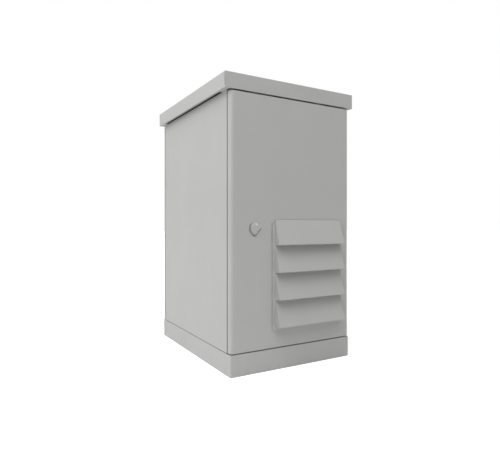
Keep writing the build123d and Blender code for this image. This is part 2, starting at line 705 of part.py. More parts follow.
keeper_plate = 3.0
keeper_high = opening_top - 15
keeper_low = opening_bottom + 15
rod_y = (rod_front, rod_front + rod_thickness)
slot_span = crank_radius - crank_offset + 2 * (crank_pin_radius + crank_slot_gap)
slot_mid = (crank_offset + crank_radius) / 2
slot_height = 2 * (crank_pin_radius + crank_slot_gap)


def lock_rod(side, tip):
    """Flat bar with a cross slot for its crank pin; side is 1 for the right-hand, rising bar."""
    x = lock_x + side * slot_mid
    slot_z = lock_height - side * crank_offset
    end = slot_z - side * (slot_height / 2 + 5)
    z = sorted((end, tip))
    bar = block((x - rod_width / 2, x + rod_width / 2), rod_y, z)
    return bar - Pos(x, rod_y[0], slot_z) * Box(slot_span, 6 * rod_thickness, slot_height)


upper_tip = keeper_high - keeper_gap
lower_tip = keeper_low + keeper_gap
save("upper_rod", lock_rod(1, upper_tip))
save("lower_rod", lock_rod(-1, lower_tip))

guides = []
for side, heights in ((1, (lock_height + 90, upper_tip - 60)), (-1, (lock_height - 90, lower_tip + 60))):
    x = lock_x + side * slot_mid
    clear = rod_width / 2 + seat_gap
    for z in heights:
        outer_y = (stiffener_face, rod_y[1] + seat_gap + 2)
        outer = block((x - clear - 3, x + clear + 3), outer_y, (z - 8, z + 8))
        inner = block((x - clear, x + clear), (stiffener_face + 2, rod_y[1] + seat_gap), (z - 9, z + 9))
        guides.append(outer - inner)
save("rod_guides", *guides)

keepers = []
for side, plate_z, anchor in ((1, keeper_high, opening_top), (-1, keeper_low, opening_bottom)):
    x = lock_x + side * slot_mid
    reach = rod_width / 2 + 6
    z = sorted((plate_z, anchor))
    y = (rod_y[0] - 5, frame_front + sheet)
    bridge = block((x - reach, x + reach), y, z)
    plate = sorted((plate_z, plate_z + side * keeper_plate))
    inner_z = sorted((plate_z + side * keeper_plate, anchor + side))
    bridge -= block((x - reach + 3, x + reach - 3), (y[0] - 1, y[1] + 1), inner_z)
    bridge -= block((x - rod_width / 2 - 1, x + rod_width / 2 + 1), (rod_y[0] - 1, rod_y[1] + 1),
                    (plate[0] - 1, plate[1] + 1))
    keepers.append(bridge)
save("rod_keepers", *keepers)
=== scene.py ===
# Outdoor equipment cabinet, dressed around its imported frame: powder coat, zinc, rubber, fleece and lamp setup.
import json
import math
import bmesh
import bpy
import numpy as np
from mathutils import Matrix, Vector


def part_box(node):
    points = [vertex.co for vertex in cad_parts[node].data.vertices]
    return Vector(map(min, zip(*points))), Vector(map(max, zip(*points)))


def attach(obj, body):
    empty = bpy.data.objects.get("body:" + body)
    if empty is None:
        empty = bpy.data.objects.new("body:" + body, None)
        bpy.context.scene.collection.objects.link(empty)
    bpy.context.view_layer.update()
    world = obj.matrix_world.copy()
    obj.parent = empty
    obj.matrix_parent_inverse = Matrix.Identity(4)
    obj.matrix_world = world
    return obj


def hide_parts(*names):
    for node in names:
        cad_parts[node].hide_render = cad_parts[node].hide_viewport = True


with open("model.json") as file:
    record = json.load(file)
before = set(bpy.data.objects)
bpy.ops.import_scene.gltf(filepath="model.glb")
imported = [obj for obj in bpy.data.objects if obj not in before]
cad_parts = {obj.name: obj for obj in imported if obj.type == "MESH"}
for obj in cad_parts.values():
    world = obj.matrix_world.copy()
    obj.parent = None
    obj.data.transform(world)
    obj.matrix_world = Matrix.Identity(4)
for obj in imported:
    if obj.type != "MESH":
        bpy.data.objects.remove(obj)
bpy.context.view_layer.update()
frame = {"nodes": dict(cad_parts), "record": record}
print("stage: frame loaded,", len(frame["nodes"]), "nodes")


# Colours are written as sRGB hex and turned to linear here
def linearColour(hexCode):
    values = np.array([int(hexCode[i:i + 2], 16) / 255 for i in (0, 2, 4)])
    values = np.where(values <= 0.04045, values / 12.92, ((values + 0.055) / 1.055) ** 2.4)
    return (*[float(v) for v in values], 1.0)


# Adds one node. Settings are its attributes. An input is named with _ for each space, or with i and its number, and
# is either a plain value or a link, written as (node, output)
def addNode(tree, kind, settings=None, **inputs):
    node = tree.nodes.new(kind)
    for key, value in (settings or {}).items():
        setattr(node, key, value)
    for key, value in inputs.items():
        numbered = key[0] == "i" and key[1:].isdigit()
        socket = node.inputs[int(key[1:]) if numbered else key.replace("_", " ")]
        if isinstance(value, tuple) and len(value) == 2 and hasattr(value[0], "outputs"):
            tree.links.new(value[0].outputs[value[1]], socket)
        else:
            socket.default_value = value
    return node


def startMaterial(name):
    material = bpy.data.materials.new(name)
    material.use_nodes = True
    tree = material.node_tree
    shader = next(n for n in tree.nodes if n.type == "BSDF_PRINCIPLED")
    return material, tree, shader


# Light grey polyester powder coat, sprayed and baked on zinc-coated sheet. It gives a satin sheen with an orange peel
# about 1.8 mm apart, a slightly cloudy film some 180 mm across, and folds whose edges turn the light over 1.3 mm
powderCoat = {"colour": "ABABAA", "cloud": "A7A7A6", "peelMm": 1.8, "cloudMm": 180.0, "roughness": 0.52,
              "smoother": 0.05, "rougher": 0.05, "peelHeightMm": 0.022, "bendMm": 1.3}


def makePowderCoat(name, settings):
    material, tree, shader = startMaterial(name)
    place = addNode(tree, "ShaderNodeTexCoord")
    cloud = addNode(tree, "ShaderNodeTexNoise", Vector=(place, "Object"), Scale=1000 / settings["cloudMm"],
                    Detail=3.0, Roughness=0.5)
    tint = addNode(tree, "ShaderNodeMix", {"data_type": "RGBA"}, i0=(cloud, 0),
                   i6=linearColour(settings["colour"]), i7=linearColour(settings["cloud"]))
    tree.links.new(tint.outputs[2], shader.inputs["Base Color"])
    peel = addNode(tree, "ShaderNodeTexNoise", Vector=(place, "Object"), Scale=1000 / settings["peelMm"],
                   Detail=2.0, Roughness=0.4)
    softEdge = addNode(tree, "ShaderNodeBevel", {"samples": 5}, Radius=settings["bendMm"] / 1000)
    bump = addNode(tree, "ShaderNodeBump", Strength=1.0, Distance=settings["peelHeightMm"] / 1000,
                   Height=(peel, 0), Normal=(softEdge, 0))
    tree.links.new(bump.outputs[0], shader.inputs["Normal"])
    sheen = addNode(tree, "ShaderNodeMapRange", Value=(cloud, 0),
                    To_Min=settings["roughness"] - settings["smoother"],
                    To_Max=settings["roughness"] + settings["rougher"])
    tree.links.new(sheen.outputs[0], shader.inputs["Roughness"])
    shader.inputs["IOR"].default_value = 1.5
    return material


# Hot-dip zinc on rolled sheet: spangle crystals about 14 mm across give it patches of soft, unevenly bright grey
zincSheet = {"bright": "B7BABB", "dull": "9DA1A3", "spangleMm": 14.0, "roughness": 0.42, "smoother": 0.08,
             "rougher": 0.08}


def makeZincSheet(name, settings):
    material, tree, shader = startMaterial(name)
    place = addNode(tree, "ShaderNodeTexCoord")
    spangle = addNode(tree, "ShaderNodeTexVoronoi", Vector=(place, "Object"),
                      Scale=1000 / settings["spangleMm"])
    shade = addNode(tree, "ShaderNodeSeparateColor", Color=(spangle, "Color"))
    tint = addNode(tree, "ShaderNodeMix", {"data_type": "RGBA"}, i0=(shade, 0),
                   i6=linearColour(settings["bright"]), i7=linearColour(settings["dull"]))
    tree.links.new(tint.outputs[2], shader.inputs["Base Color"])
    sheen = addNode(tree, "ShaderNodeMapRange", Value=(shade, 1),
                    To_Min=settings["roughness"] - settings["smoother"],
                    To_Max=settings["roughness"] + settings["rougher"])
    tree.links.new(sheen.outputs[0], shader.inputs["Roughness"])
    shader.inputs["Metallic"].default_value = 1.0
    return material


# Bright zinc plate on turned and headed steel: even, smooth, faintly yellow
zincPlate = {"colour": "C6C5BE", "grainMm": 0.8, "roughness": 0.3, "smoother": 0.06, "rougher": 0.1}
# Polished chrome on drawn wire: bright, with clear reflections
chromeWire = {"colour": "D2D3D4", "grainMm": 2.0, "roughness": 0.12, "smoother": 0.06, "rougher": 0.1}
# Drawn brass bar, lightly tarnished: a dulled yellow
brassBar = {"colour": "B8924A", "grainMm": 1.5, "roughness": 0.34, "smoother": 0.06, "rougher": 0.1}


def makePlainMetal(name, settings):
    material, tree, shader = startMaterial(name)
    place = addNode(tree, "ShaderNodeTexCoord")
    grain = addNode(tree, "ShaderNodeTexNoise", Vector=(place, "Object"), Scale=1000 / settings["grainMm"],
                    Detail=3.0)
    sheen = addNode(tree, "ShaderNodeMapRange", Value=(grain, 0),
                    To_Min=settings["roughness"] - settings["smoother"],
                    To_Max=settings["roughness"] + settings["rougher"])
    tree.links.new(sheen.outputs[0], shader.inputs["Roughness"])
    shader.inputs["Base Color"].default_value = linearColour(settings["colour"])
    shader.inputs["Metallic"].default_value = 1.0
    return material


# Foamed polyurethane sealing: closed black foam with pores about 0.9 mm across
foamRubber = {"colour": "262626", "poreMm": 0.9, "depthMm": 0.15, "roughness": 0.85}
# Injection-moulded glass-filled nylon: black, spark-eroded grain about 0.5 mm
blackPlastic = {"colour": "1F2021", "poreMm": 0.5, "depthMm": 0.02, "roughness": 0.5}
# Needled polyester filter fleece: off-white fibres tangled about 1.6 mm apart
filterFleece = {"colour": "D6D5CB", "poreMm": 1.6, "depthMm": 0.5, "roughness": 0.95}


def makeGrained(name, settings):
    material, tree, shader = startMaterial(name)
    place = addNode(tree, "ShaderNodeTexCoord")
    grain = addNode(tree, "ShaderNodeTexNoise", Vector=(place, "Object"), Scale=1000 / settings["poreMm"],
                    Detail=3.0, Roughness=0.6)
    bump = addNode(tree, "ShaderNodeBump", Strength=1.0, Distance=settings["depthMm"] / 1000, Height=(grain, 0))
    tree.links.new(bump.outputs[0], shader.inputs["Normal"])
    shader.inputs["Base Color"].default_value = linearColour(settings["colour"])
    shader.inputs["Roughness"].default_value = settings["roughness"]
    return material


finishes = {
    "powder_coat": makePowderCoat("polyesterPowderCoat", powderCoat),
    "galvanised_steel": makeZincSheet("hotDipZinc", zincSheet),
    "zinc_fasteners": makePlainMetal("zincPlate", zincPlate),
    "chrome_wire": makePlainMetal("chromedWire", chromeWire),
    "brass_bar": makePlainMetal("drawnBrass", brassBar),
    "foam_rubber": makeGrained("foamedSealing", foamRubber),
    "black_plastic": makeGrained("mouldedNylon", blackPlastic),
    "filter_fleece": makeGrained("needledFleece", filterFleece),
}
slotOf = {row["node"]: row["material_slot"] for row in frame["record"]["subparts"]}
for nodeName in frame["nodes"]:
    target = bpy.data.objects[nodeName]
    for slot in target.material_slots:
        slot.material = finishes[slotOf[nodeName]]
print("stage: finishes set")


# Quads over a grid of points; a closed way round joins its last line to its first
def gridFaces(rows, columns, closedRows, closedColumns, start):
    r, c = np.meshgrid(np.arange(rows if closedRows else rows - 1),
                       np.arange(columns if closedColumns else columns - 1), indexing="ij")
    below, beside = (r + 1) % rows, (c + 1) % columns
    corners = [r * columns + c, below * columns + c, below * columns + beside, r * columns + beside]
    return start + np.stack(corners, axis=-1).reshape(-1, 4)


# One mesh object from its surfaces: doubles merged so that seams and poles close, faces turned outwards
def makePiece(name, surfaces, body, slotName, replaced, smoothDegrees=38.0):
    points, faces, count = [], [], 0
    for surface, closedRows, closedColumns in surfaces:
        rows, columns = surface.shape[:2]
        faces.append(gridFaces(rows, columns, closedRows, closedColumns, count))
        points.append(surface.reshape(-1, 3))
        count += rows * columns
    mesh = bpy.data.meshes.new(name)
    mesh.from_pydata(np.concatenate(points).tolist(), [], np.concatenate(faces).tolist())
    shell = bmesh.new()
    shell.from_mesh(mesh)
    bmesh.ops.remove_doubles(shell, verts=shell.verts, dist=2e-6)
    bmesh.ops.recalc_face_normals(shell, faces=shell.faces)
    shell.to_mesh(mesh)
    shell.free()
    mesh.shade_smooth()
    mesh.set_sharp_from_angle(angle=math.radians(smoothDegrees))
    mesh.materials.append(finishes[slotName])
    piece = bpy.data.objects.new(name, mesh)
    bpy.context.scene.collection.objects.link(piece)
    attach(piece, body)
    if replaced:
        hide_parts(*replaced)
    return piece


def nodeBox(node):
    low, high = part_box(node)
    return np.array(low, dtype=float), np.array(high, dtype=float)


# Filter mat: a needled pad clamped all round by its frame. u and v run from -1 to 1 across and up it; half
# its thickness is (1 - u^n)(1 - v^n) to the power of rimPower, n being cornerPower. The fibres swell the faces by the
# product of a wave across and one up them at upRate of its rate, each shifted by shift times a slower wave
filterPad = {"columns": 150, "rows": 190, "cornerPower": 8, "rimPower": 0.3, "swellMm": 0.5, "swellEveryMm": 38.0,
             "upRate": 0.83, "shift": (1.9, 1.3), "slower": (2.7, 3.1), "fill": 0.3}


def makeFilterPad(settings):
    low, high = nodeBox("filter_mat")
    v, u = np.meshgrid(np.sin(np.linspace(-1, 1, settings["rows"]) * math.pi / 2),
                       np.sin(np.linspace(-1, 1, settings["columns"]) * math.pi / 2), indexing="ij")
    middle, half = (low + high) / 2, (high - low) / 2
    x, z = middle[0] + half[0] * u, middle[2] + half[2] * v
    wave = 2 * math.pi * 1000 / settings["swellEveryMm"]
    power, shift, slower = settings["cornerPower"], settings["shift"], settings["slower"]
    rim = np.clip((1 - u ** power) * (1 - v ** power), 0, 1) ** settings["rimPower"]
    acrossWave = np.sin(wave * x + shift[0] * np.sin(wave * z / slower[0]))
    upWave = np.sin(wave * z * settings["upRate"] + shift[1] * np.sin(wave * x / slower[1]))
    swell = settings["swellMm"] / 1000 * (acrossWave * upWave - 1) / 2
    faces = [np.stack([x, middle[1] + side * rim * (half[1] + swell), z], axis=-1) for side in (-1, 1)]
    pad = makePiece("filterPad", [(face, False, False) for face in faces], "door", "filter_fleece", ["filter_mat"])


makeFilterPad(filterPad)


# Points round a rectangle with round corners, anticlockwise as x and z, and the outward direction at each
def roundedLoop(spanX, spanZ, radius, arcSteps):
    turn = np.linspace(0, math.pi / 2, arcSteps + 1)
    angle = (np.arange(4)[:, None] * math.pi / 2 + turn[None, :]).ravel()
    quarter = np.repeat(np.arange(4), arcSteps + 1)
    centreX = np.where((quarter == 0) | (quarter == 3), spanX[1] - radius, spanX[0] + radius)
    centreZ = np.where(quarter < 2, spanZ[1] - radius, spanZ[0] + radius)
    outward = np.stack([np.cos(angle), np.sin(angle)], axis=-1)
    return np.stack([centreX, centreZ], axis=-1) + radius * outward, outward


# Door gasket: foam cast in place as one endless bead. Its section stands on the door's skin: across is the half
# width times cos t, and proud of the skin is the height times sin t to the power crownPower, t from 0 to pi
doorBead = {"insetMm": 6.0, "cornerMm": 16.0, "halfWidthMm": 5.7, "proudMm": 9.8, "crownPower": 0.75, "arcSteps": 10,
            "sectionSteps": 20}


def makeDoorBead(settings):
    low, high = nodeBox("door_gasket")
    inset = settings["insetMm"] / 1000
    loop, outward = roundedLoop((low[0] + inset, high[0] - inset), (low[2] + inset, high[2] - inset),
                                settings["cornerMm"] / 1000, settings["arcSteps"])
    t = np.linspace(0, math.pi, settings["sectionSteps"])
    across = settings["halfWidthMm"] / 1000 * np.cos(t)
    proud = settings["proudMm"] / 1000 * np.clip(np.sin(t), 0, 1) ** settings["crownPower"]
    flat = loop[:, None, :] + outward[:, None, :] * across[None, :, None]
    y = np.broadcast_to(low[1] + proud, flat.shape[:2])
    bead = np.stack([flat[..., 0], y, flat[..., 1]], axis=-1)
    makePiece("doorSealBead", [(bead, True, True)], "door", "foam_rubber", ["door_gasket"])


makeDoorBead(doorBead)


# Hood gasket: a flat foam ring squeezed between flange and door. Each point of its outline is drawn to the
# nearest point of the window; the outer edge bulges as half a circle from the squeeze
hoodSeal = {"bulgeMm": 0.5, "hoodFlangeMm": 15.0, "footFlangeMm": 14.0, "topStepMm": 2.0, "topFlangeMm": 1.0,
            "windowMarginMm": 11.0, "edgeSteps": 7}


def makeHoodSeal(settings):
    low, high = nodeBox("hood_gasket")
    bulge, flange, foot, step, top, window = (
        settings[key] / 1000 for key in ("bulgeMm", "hoodFlangeMm", "footFlangeMm", "topStepMm", "topFlangeMm",
                                         "windowMarginMm"))
    innerX = np.array((low[0] + flange, high[0] - flange))
    windowX = innerX + np.array((window, -window))
    windowZ = (low[2] + foot + window, high[2] + step - window - top)
    left, right, shoulder = low[0] + bulge, high[0] - bulge, high[2] + step - flange - bulge
    corners = np.array([(right, low[2] + bulge), (right, shoulder), (innerX[1] - bulge, shoulder),
                        (innerX[1] - bulge, high[2] - bulge), (windowX[1], high[2] - bulge),
                        (windowX[0], high[2] - bulge), (innerX[0] + bulge, high[2] - bulge),
                        (innerX[0] + bulge, shoulder), (left, shoulder), (left, low[2] + bulge),
                        (windowX[0], low[2] + bulge), (windowX[1], low[2] + bulge)])
    inner = np.stack([np.clip(corners[:, 0], *windowX), np.clip(corners[:, 1], *windowZ)], axis=-1)
    away = corners - inner
    away = away / np.linalg.norm(away, axis=1, keepdims=True)
    t = np.linspace(-math.pi / 2, math.pi / 2, settings["edgeSteps"])
    depth = (high[1] - low[1]) / 2
    outer = corners[:, None, :] + away[:, None, :] * (bulge * np.cos(t))[None, :, None]
    flat = np.concatenate([inner[:, None, :], outer, inner[:, None, :]], axis=1)
    y = (low[1] + high[1]) / 2 + depth * np.concatenate([[-1], np.sin(t), [1]])
    ring = np.stack([flat[..., 0], np.broadcast_to(y, flat.shape[:2]), flat[..., 1]], axis=-1)
    makePiece("hoodSealRing", [(ring, True, True)], "door", "foam_rubber", ["hood_gasket"])


makeHoodSeal(hoodSeal)


# A round wire through points: at each one a ring of the given radius in the plane across the wire's way, whose
# two directions are given; both ends shrink to a point, so the wire is closed
def wireSurface(points, radius, first, second, sides):
    turn = np.arange(sides) / sides * 2 * math.pi
    ring = radius * (np.cos(turn)[:, None] * np.array(first) + np.sin(turn)[:, None] * np.array(second))
    tube = points[:, None, :] + ring[None, :, :]
    ends = [np.repeat(points[[index], None, :], sides, axis=1) for index in (0, -1)]
    return np.concatenate([ends[0], tube, ends[1]], axis=0), False, True


# Insect screen: plain woven galvanised wire, drawn several times coarser than a real one, whose openings of about
# 1.5 mm are too fine to show. Each wire goes over and under the crossing ones in turn, its distance from the middle
# plane a cosine that turns over at every crossing
wovenScreen = {"pitchMm": 7.6, "wireMm": 0.72, "endMm": 1.0, "sides": 6}


def makeWovenScreen(settings):
    low, high = nodeBox("vent_mesh")
    pitch, radius = settings["pitchMm"] / 1000, settings["wireMm"] / 2000
    middleY = (low[1] + high[1]) / 2
    lift, end = (high[1] - low[1]) / 2 - radius, settings["endMm"] / 1000
    countX, countZ = int((high[0] - low[0]) / pitch), int((high[2] - low[2]) / pitch)
    placesX = (low[0] + high[0]) / 2 + (np.arange(countX) - (countX - 1) / 2) * pitch
    placesZ = (low[2] + high[2]) / 2 + (np.arange(countZ) - (countZ - 1) / 2) * pitch

    def weave(places, span, phase):
        along = np.concatenate([[span[0] + end], places, [span[1] - end]])
        return along, middleY + lift * np.cos(math.pi * (along - places[0]) / pitch + phase)

    wires = []
    for index, x in enumerate(placesX):
        along, y = weave(placesZ, (low[2], high[2]), math.pi * index)
        wires.append(wireSurface(np.stack([np.full_like(along, x), y, along], axis=-1), radius,
                                 (1, 0, 0), (0, 1, 0), settings["sides"]))
    for index, z in enumerate(placesZ):
        along, y = weave(placesX, (low[0], high[0]), math.pi * (index + 1))
        wires.append(wireSurface(np.stack([along, y, np.full_like(along, z)], axis=-1), radius,
                                 (0, 0, 1), (0, 1, 0), settings["sides"]))
    makePiece("wovenInsectScreen", wires, "door", "galvanised_steel", ["vent_mesh"], smoothDegrees=70)


makeWovenScreen(wovenScreen)


# Fan rotor: a turned hub, its section carried round the axis, and twisted blades. A blade's section is a slim
# oval on an arc, its chord and pitch angle going straight from root to tip, and its middle sweeping forward
fanWheel = {"blades": 7, "hubMm": 33.0, "tipMm": 81.0, "boreMm": 4.15, "rootChordMm": 36.0, "tipChordMm": 47.0,
            "rootPitch": 40.0, "tipPitch": 24.0, "camber": 0.09, "thickMm": 2.6, "thinner": 0.35,
            "sweepDegrees": 14.0, "sweepPower": 1.5, "hubRoundMm": 4.0, "hubRimMm": 2.0, "boreStepMm": 4.0,
            "rootInMm": 1.5, "roundFrom": 0.86, "roundPower": 2.5, "roundShare": 0.35, "clearMm": 0.8,
            "hubSides": 72, "roundSteps": 7, "bladeRows": 18, "sectionSides": 26}


def makeFanWheel(settings):
    low, high = nodeBox("fan_rotor")
    centre = (low + high) / 2
    bore, hub, rounding, rim, step, rootIn, clear = (
        settings[key] / 1000 for key in ("boreMm", "hubMm", "hubRoundMm", "hubRimMm", "boreStepMm", "rootInMm",
                                         "clearMm"))
    nose, tail, sides, sectionSides = low[1], high[1], settings["hubSides"], settings["sectionSides"]
    arc = np.linspace(0, math.pi / 2, settings["roundSteps"])
    reach = np.concatenate([[bore], hub - rounding + rounding * np.sin(arc), [hub, hub - rim, hub - rim, bore, bore]])
    along = np.concatenate([[nose], nose + rounding * (1 - np.cos(arc)), [tail, tail, tail, tail, nose + step]])
    turn = np.arange(sides) / sides * 2 * math.pi
    drum = np.stack([centre[0] + np.cos(turn)[:, None] * reach, np.broadcast_to(along, (sides, len(along))),
                     centre[2] + np.sin(turn)[:, None] * reach], axis=-1)
    s = np.linspace(0, 1, settings["bladeRows"])[:, None]
    t = (np.arange(sectionSides) / sectionSides * 2 * math.pi)[None, :]
    radius = (hub - rootIn) * (1 - s) + settings["tipMm"] / 1000 * s
    chord = (settings["rootChordMm"] * (1 - s) + settings["tipChordMm"] * s) / 1000
    pitch = np.radians(settings["rootPitch"] * (1 - s) + settings["tipPitch"] * s)
    nearTip = np.clip((s - settings["roundFrom"]) / (1 - settings["roundFrom"]), 0, 1)
    roundTip = np.sqrt(np.clip(1 - nearTip ** settings["roundPower"] * settings["roundShare"], 0, 1))
    across = chord / 2 * np.cos(t) * roundTip
    bulge = settings["camber"] * chord * (1 - (2 * across / chord) ** 2)
    thick = settings["thickMm"] / 2000 * np.sin(t) * (1 - settings["thinner"] * s) + bulge
    sideways = across * np.cos(pitch) - thick * np.sin(pitch)
    axial = across * np.sin(pitch) + thick * np.cos(pitch)
    angle = np.radians(settings["sweepDegrees"]) * s ** settings["sweepPower"] + sideways / radius
    axial = np.clip(axial, -(tail - nose) / 2 + clear, (tail - nose) / 2 - clear)
    surfaces = [(drum, True, True)]
    for index in range(settings["blades"]):
        place = angle + index / settings["blades"] * 2 * math.pi
        blade = np.stack([centre[0] + radius * np.cos(place), centre[1] + axial,
                          centre[2] + radius * np.sin(place)], axis=-1)
        ends = [np.repeat(blade[[row]].mean(axis=1, keepdims=True), blade.shape[1], axis=1) for row in (0, -1)]
        surfaces.append((np.concatenate([ends[0], blade, ends[1]], axis=0), False, True))
    makePiece("fanWheel", surfaces, "rotor", "black_plastic", ["fan_rotor"], smoothDegrees=45)


makeFanWheel(fanWheel)
print("stage: filter, seals, insect screen and fan wheel made")


# Lock escutcheon: r and the angle go round the lock's middle. On the lower left its face drops off the pressed
# recess as a moat; to the right it fills the recess flush, mixed by a smooth step of the angle. Beside the cover's
# straight edge a bell-shaped groove gives a finger hold. The barrel behind is turned
escutcheon = {"boreMm": 7.05, "faceMm": 24.0, "rimMm": 33.3, "recessMm": 33.5, "seatMm": 6.0, "proudMm": 0.5,
              "chordAngle": 43.0, "grooveAtMm": 17.8, "grooveWideMm": 1.9, "grooveDeepMm": 4.2,
              "barrelMm": 14.0, "moatFrom": 150.0, "moatTo": 262.0, "moatBlend": 34.0, "angleSteps": 180,
              "seamAngle": -60.0, "leadMm": 0.6, "faceFromMm": 8.4, "faceSteps": 46, "lipMm": (0.5, 0.8, 0.95, 1.4),
              "lipDeepMm": 0.6, "rimSteps": 20, "moatLiftMm": 0.35, "gapMm": 0.05, "grooveFadeMm": (2.5, 1.5),
              "kneeMm": (30.0, 3.45), "barrelDeepMm": (16.0, 16.7), "barrelBevelMm": 0.8}


def smoothStep(value, low, high):
    t = np.clip((value - low) / (high - low), 0, 1)
    return t * t * (3 - 2 * t)


def makeEscutcheon(settings):
    low, high = nodeBox("lock_body")
    centre, doorFace = (low + high) / 2, low[1] * 1000 + settings["proudMm"]
    degrees = np.arange(settings["angleSteps"]) / settings["angleSteps"] * 360 + settings["seamAngle"]
    filled = 1 - (smoothStep(degrees, settings["moatFrom"] - settings["moatBlend"], settings["moatFrom"])
                  - smoothStep(degrees, settings["moatTo"], settings["moatTo"] + settings["moatBlend"]))[:, None]
    turn = np.radians(degrees)[:, None]
    face, rim, seat, bore, barrel = (settings[key] for key in ("faceMm", "rimMm", "seatMm", "boreMm", "barrelMm"))
    proud, lip, lipDeep, lead, gap = (settings[key] for key in ("proudMm", "lipMm", "lipDeepMm", "leadMm", "gapMm"))
    r = np.concatenate([[bore, bore + lead], np.linspace(settings["faceFromMm"], face, settings["faceSteps"]),
                        [face + lip[0], face + lip[1], face + lip[2]],
                        np.linspace(face + lip[3], rim, settings["rimSteps"])])[None, :]
    recess = np.minimum(seat, settings["recessMm"] - r)
    overLip = (lip[1] + lip[2]) / 2
    moat = np.where(r <= face + overLip, -proud + lipDeep * smoothStep(r, face, face + lip[1]),
                    recess - settings["moatLiftMm"])
    flush = -proud + (proud - gap) * smoothStep(r, face, rim)
    chord, fade = math.radians(settings["chordAngle"]), settings["grooveFadeMm"]
    across = r * (np.cos(turn) * math.cos(chord) - np.sin(turn) * math.sin(chord))
    groove = settings["grooveDeepMm"] * np.exp(-((across - settings["grooveAtMm"]) / settings["grooveWideMm"]) ** 2)
    front = filled * flush + (1 - filled) * moat + groove * (1 - smoothStep(r, face - fade[0], face + fade[1]))
    front = front + lead * (r < bore + lead / 2)
    knee, deep = settings["kneeMm"], settings["barrelDeepMm"]
    backR = np.array([rim, knee[0], settings["recessMm"] - seat, barrel, barrel, barrel - settings["barrelBevelMm"],
                      bore])
    backDepth = np.array([settings["recessMm"] - rim - gap, knee[1], seat - gap, seat - gap, deep[0], deep[1],
                          deep[1]])
    reach = np.concatenate([np.broadcast_to(r, front.shape), np.broadcast_to(backR, (len(turn), len(backR)))], axis=1)
    depth = np.concatenate([front, np.broadcast_to(backDepth, (len(turn), len(backDepth)))], axis=1)
    surface = np.stack([centre[0] + reach * np.cos(turn) / 1000, (doorFace + depth) / 1000,
                        centre[2] + reach * np.sin(turn) / 1000], axis=-1)
    makePiece("lockEscutcheon", [(surface, True, True)], "door", "powder_coat", ["lock_body"])


makeEscutcheon(escutcheon)


# Dust cover: a domed disc with one straight edge. Its outline is the smaller of the radius and the straight
# edge's distance over the cosine of the angle to it, counted where that cosine is above cosineFrom. Its thickness
# falls outwards as the root of 1 - s^n, n being edgePower, times 1 - crown s^2
dustLid = {"radiusMm": 24.0, "chordMm": 14.6, "chordAngle": -43.0, "cosineFrom": 0.2, "thickMm": 3.0, "crown": 0.14,
           "edgePower": 10, "domeSteps": 30, "angleSteps": 240}


def makeDustLid(settings):
    low, high = nodeBox("lock_cover")
    lock = (np.array(nodeBox("lock_body")[0]) + nodeBox("lock_body")[1]) / 2
    turn = np.arange(settings["angleSteps"]) / settings["angleSteps"] * 2 * math.pi
    facing = np.cos(turn - math.radians(settings["chordAngle"]))
    lowest, radius = settings["cosineFrom"], settings["radiusMm"]
    toChord = settings["chordMm"] / np.maximum(facing, lowest)
    outline = np.where(facing > lowest, np.minimum(radius, toChord), radius) / 1000
    s = np.sin(np.linspace(0, math.pi / 2, settings["domeSteps"]))
    thick = (settings["thickMm"] / 1000 * np.sqrt(np.clip(1 - s ** settings["edgePower"], 0, 1))
             * (1 - settings["crown"] * s ** 2))
    spread = np.concatenate([s, s[::-1]])
    y = high[1] - np.concatenate([thick, np.zeros_like(s)])
    surface = np.stack([lock[0] + spread[:, None] * outline * np.cos(turn),
                        np.broadcast_to(y[:, None], (len(spread), len(turn))),
                        lock[2] + spread[:, None] * outline * np.sin(turn)], axis=-1)
    makePiece("dustLid", [(surface, False, True)], "dust_cover", "powder_coat", ["lock_cover"])


makeDustLid(dustLid)


# A bar of oval section between two points along one axis: the section's offsets are the half sizes times the
# cosine and sine of the angle, each raised to a low power for a squarish shape. The ends narrow to endShare of the
# size over the bevel and shrink to a point
def barSurface(low, high, axis, power=0.45, sides=16, bevel=0.0004, endShare=0.8):
    low, high = np.array(low, dtype=float), np.array(high, dtype=float)
    others = [index for index in range(3) if index != axis]
    turn = np.arange(sides) / sides * 2 * math.pi
    bend = np.stack([np.sign(np.cos(turn)) * np.abs(np.cos(turn)) ** power,
                     np.sign(np.sin(turn)) * np.abs(np.sin(turn)) ** power], axis=-1)
    along = np.array([low[axis], low[axis], low[axis] + bevel, high[axis] - bevel, high[axis], high[axis]])
    size = np.array([0.0, endShare, 1.0, 1.0, endShare, 0.0])
    surface = np.empty((len(along), sides, 3))
    surface[..., axis] = along[:, None]
    for column, other in enumerate(others):
        middle, half = (low[other] + high[other]) / 2, (high[other] - low[other]) / 2
        surface[..., other] = middle + size[:, None] * half * bend[:, column]
    return surface, False, True


# Painted shade: black foam tape, squeezed, sits in the joints as a dark line that stands in for the shadow in each
# gap: a bulge in the joint between each side panel and the plinth, a strip along the panel's top edge under the roof,
# one in the seam behind it and one in front of it, by the door. Dark mastic fills the slots at the roof cap's
# corners, a little back from its face, as painted shade in the slots
jointShadowFill = {"bulgeMm": 0.3, "overlapMm": 0.4, "seamTapeMm": 0.7, "topTapeMm": 1.0, "topTapeHighMm": 4.4,
             "topGapMm": 0.1, "cornerPlateMm": 72.0, "masticBackMm": 0.1, "masticPower": 0.2, "slotWideMm": 2.5,
             "sheetMm": 2.0, "slotLowMm": 7.0, "slotTopMm": 4.0, "seamOverMm": 1.2, "seamGapMm": 0.4,
             "hingeGapMm": 2.4}


